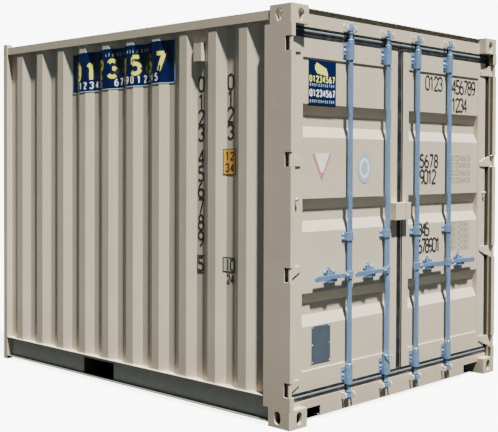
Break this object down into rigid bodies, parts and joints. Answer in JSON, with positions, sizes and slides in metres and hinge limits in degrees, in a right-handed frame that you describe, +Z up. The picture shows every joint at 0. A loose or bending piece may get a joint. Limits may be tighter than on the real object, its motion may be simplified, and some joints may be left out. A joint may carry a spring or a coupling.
{
  "type": "ten-foot shipping container",
  "caption": "Short steel shipping container with double doors and lock rods at one end, corrugated side walls and a plain blind end.",
  "frame": {"origin": "middle of the rectangle the container stands on, at ground level", "axes": "+X to the right when facing the doors from outside, +Y from the doors towards the blind end, +Z up"},
  "size_m": [2.438, 3.14, 2.591],
  "materials": {
    "beige_paint": "satin",
    "galvanised": "satin",
    "seal_rubber": "matte",
    "dark_steel": "matte",
    "plywood": "satin",
    "plate_metal": "satin"
  },
  "bodies": {
    "root": {"corner_casting_top_left": "beige_paint", "corner_casting_bottom_left": "beige_paint", "corner_casting_top_right": "beige_paint", "corner_casting_bottom_right": "beige_paint", "cam_keepers": "beige_paint", "door_header": "beige_paint", "door_sill": "beige_paint", "roof_panel": "beige_paint", "end_wall": "beige_paint", "end_top_rail": "beige_paint", "end_bottom_rail": "beige_paint", "cross_members": "dark_steel", "floor_boards": "plywood", "forklift_pocket": "dark_steel", "door_post_left": "beige_paint", "hinge_lugs_left": "beige_paint", "side_wall_left": "beige_paint", "side_vent_left": "beige_paint", "top_rail_left": "beige_paint", "bottom_rail_left": "beige_paint", "end_post_left": "beige_paint", "door_post_right": "beige_paint", "hinge_lugs_right": "beige_paint", "side_wall_right": "beige_paint", "side_vent_right": "beige_paint", "top_rail_right": "beige_paint", "bottom_rail_right": "beige_paint", "end_post_right": "beige_paint"},
    "left_door": {"left_door_frame": "beige_paint", "left_door_panel": "beige_paint", "left_door_hinge_blades": "beige_paint", "left_door_lock_box": "beige_paint", "left_door_gasket": "seal_rubber", "left_door_rod_brackets": "galvanised", "left_door_handle_catches": "galvanised", "data_plate": "plate_metal"},
    "left_door_outer_rod": {"left_door_outer_rod": "galvanised"},
    "left_door_outer_handle": {"left_door_outer_handle": "galvanised"},
    "left_door_inner_rod": {"left_door_inner_rod": "galvanised"},
    "left_door_inner_handle": {"left_door_inner_handle": "galvanised"},
    "right_door": {"right_door_frame": "beige_paint", "right_door_panel": "beige_paint", "right_door_hinge_blades": "beige_paint", "right_door_lock_box": "beige_paint", "right_door_gasket": "seal_rubber", "right_door_rod_brackets": "galvanised", "right_door_handle_catches": "galvanised"},
    "right_door_outer_rod": {"right_door_outer_rod": "galvanised"},
    "right_door_outer_handle": {"right_door_outer_handle": "galvanised"},
    "right_door_inner_rod": {"right_door_inner_rod": "galvanised"},
    "right_door_inner_handle": {"right_door_inner_handle": "galvanised"}
  },
  "joints": [
    {"name": "left_door_swing", "type": "hinge", "parent": "root", "child": "left_door", "pos_m": [-1.205, -1.556, 0], "axis": [0, 0, -1], "range_deg": [0, 264]},
    {"name": "left_door_outer_rod_turn", "type": "hinge", "parent": "left_door", "child": "left_door_outer_rod", "pos_m": [-0.595, -1.538, 0], "axis": [0, 0, -1], "range_deg": [-100, 0]},
    {"name": "left_door_outer_handle_lift", "type": "hinge", "parent": "left_door_outer_rod", "child": "left_door_outer_handle", "pos_m": [-0.631, -1.544, 0.9], "axis": [0, -1, 0], "range_deg": [-30, 0]},
    {"name": "left_door_inner_rod_turn", "type": "hinge", "parent": "left_door", "child": "left_door_inner_rod", "pos_m": [-0.18, -1.538, 0], "axis": [0, 0, -1], "range_deg": [-100, 0]},
    {"name": "left_door_inner_handle_lift", "type": "hinge", "parent": "left_door_inner_rod", "child": "left_door_inner_handle", "pos_m": [-0.216, -1.544, 0.9], "axis": [0, -1, 0], "range_deg": [-30, 0]},
    {"name": "right_door_swing", "type": "hinge", "parent": "root", "child": "right_door", "pos_m": [1.205, -1.556, 0], "axis": [0, 0, 1], "range_deg": [0, 264]},
    {"name": "right_door_outer_rod_turn", "type": "hinge", "parent": "right_door", "child": "right_door_outer_rod", "pos_m": [0.595, -1.538, 0], "axis": [0, 0, 1], "range_deg": [-100, 0]},
    {"name": "right_door_outer_handle_lift", "type": "hinge", "parent": "right_door_outer_rod", "child": "right_door_outer_handle", "pos_m": [0.631, -1.544, 0.9], "axis": [0, 1, 0], "range_deg": [-30, 0]},
    {"name": "right_door_inner_rod_turn", "type": "hinge", "parent": "right_door", "child": "right_door_inner_rod", "pos_m": [0.18, -1.538, 0], "axis": [0, 0, 1], "range_deg": [-100, 0]},
    {"name": "right_door_inner_handle_lift", "type": "hinge", "parent": "right_door_inner_rod", "child": "right_door_inner_handle", "pos_m": [0.216, -1.544, 0.9], "axis": [0, 1, 0], "range_deg": [-30, 0]}
  ]
}
